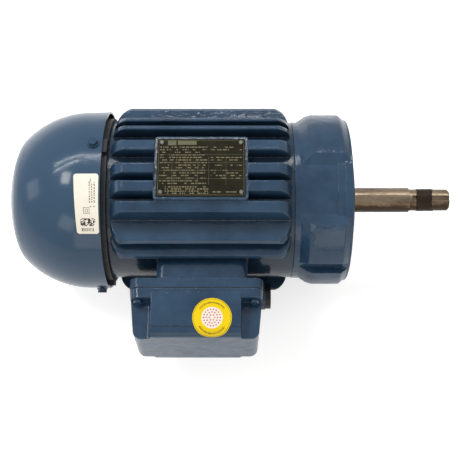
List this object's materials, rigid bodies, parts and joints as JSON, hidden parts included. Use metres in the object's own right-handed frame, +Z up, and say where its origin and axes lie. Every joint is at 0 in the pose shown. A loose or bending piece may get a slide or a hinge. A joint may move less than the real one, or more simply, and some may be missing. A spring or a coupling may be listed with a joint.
{
  "type": "close-coupled pump motor",
  "caption": "Finned, fan-cooled electric motor with a round pump mounting flange, stepped shaft, domed fan cover and side terminal box.",
  "frame": {"origin": "centre of the pump mounting face, on the shaft axis", "axes": "+X along the shaft towards the pump, +Z up through the data plate, -Y towards the terminal box"},
  "size_m": [0.4486, 0.2519, 0.1889],
  "materials": {
    "zinc_steel": "zinc plated",
    "plug_plastic": "moulded",
    "fan_plastic": "moulded",
    "painted_screw": "painted over",
    "plate_metal": "dark printed plate",
    "bearing_steel": "ground",
    "cage_steel": "pressed",
    "frame_paint": "semi-gloss paint on rough cast iron",
    "seal_rubber": "matt",
    "spring_steel": "spring steel",
    "cover_paint": "smooth semi-gloss paint on pressed steel",
    "shield_paint": "black primer on cast iron",
    "gasket_rubber": "matt",
    "rivet_metal": "bright",
    "rotor_cast": "cast",
    "shaft_steel": "turned, lightly tarnished",
    "coil_varnish": "varnished copper wire",
    "core_steel": "stacked laminations",
    "block_plastic": "moulded",
    "brass": "plain"
  },
  "bodies": {
    "housing": {"box_base_screws": "zinc_steel", "conduit_plug": "plug_plastic", "cover_screws": "painted_screw", "data_plate": "plate_metal", "drive_bearing_outer_ring": "bearing_steel", "drive_end_shield": "frame_paint", "drive_shield_screws": "zinc_steel", "fan_bearing_outer_ring": "bearing_steel", "fan_cover": "cover_paint", "fan_end_shield": "shield_paint", "fan_shield_screws": "zinc_steel", "frame": "frame_paint", "lid_gasket": "gasket_rubber", "lid_screws": "painted_screw", "plate_rivets": "rivet_metal", "preload_spring": "spring_steel", "stator_coils": "coil_varnish", "stator_core": "core_steel", "terminal_block": "block_plastic", "terminal_box_base": "frame_paint", "terminal_box_lid": "frame_paint", "terminal_studs": "brass"},
    "rotor": {"shaft": "shaft_steel", "rotor_core": "rotor_cast", "drive_bearing_inner_ring": "bearing_steel", "fan_bearing_inner_ring": "bearing_steel", "drive_slinger": "seal_rubber", "fan_slinger": "seal_rubber", "cooling_fan": "fan_plastic", "fan_clip": "spring_steel"},
    "drive_ball_set": {"drive_bearing_balls": "bearing_steel", "drive_bearing_cage": "cage_steel"},
    "fan_ball_set": {"fan_bearing_balls": "bearing_steel", "fan_bearing_cage": "cage_steel"}
  },
  "joints": [
    {"name": "rotor_spin", "type": "hinge", "parent": "housing", "child": "rotor", "pos_m": [0, 0, 0], "axis": [1, 0, 0], "continuous": true},
    {"name": "drive_ball_spin", "type": "hinge", "parent": "housing", "child": "drive_ball_set", "pos_m": [-0.032, 0, 0], "axis": [1, 0, 0], "continuous": true},
    {"name": "fan_ball_spin", "type": "hinge", "parent": "housing", "child": "fan_ball_set", "pos_m": [-0.241, 0, 0], "axis": [1, 0, 0], "continuous": true}
  ],
  "couplings": [
    {"joint": "drive_ball_spin", "follows": "rotor_spin", "ratio": 0.3957},
    {"joint": "fan_ball_spin", "follows": "rotor_spin", "ratio": 0.3791}
  ]
}
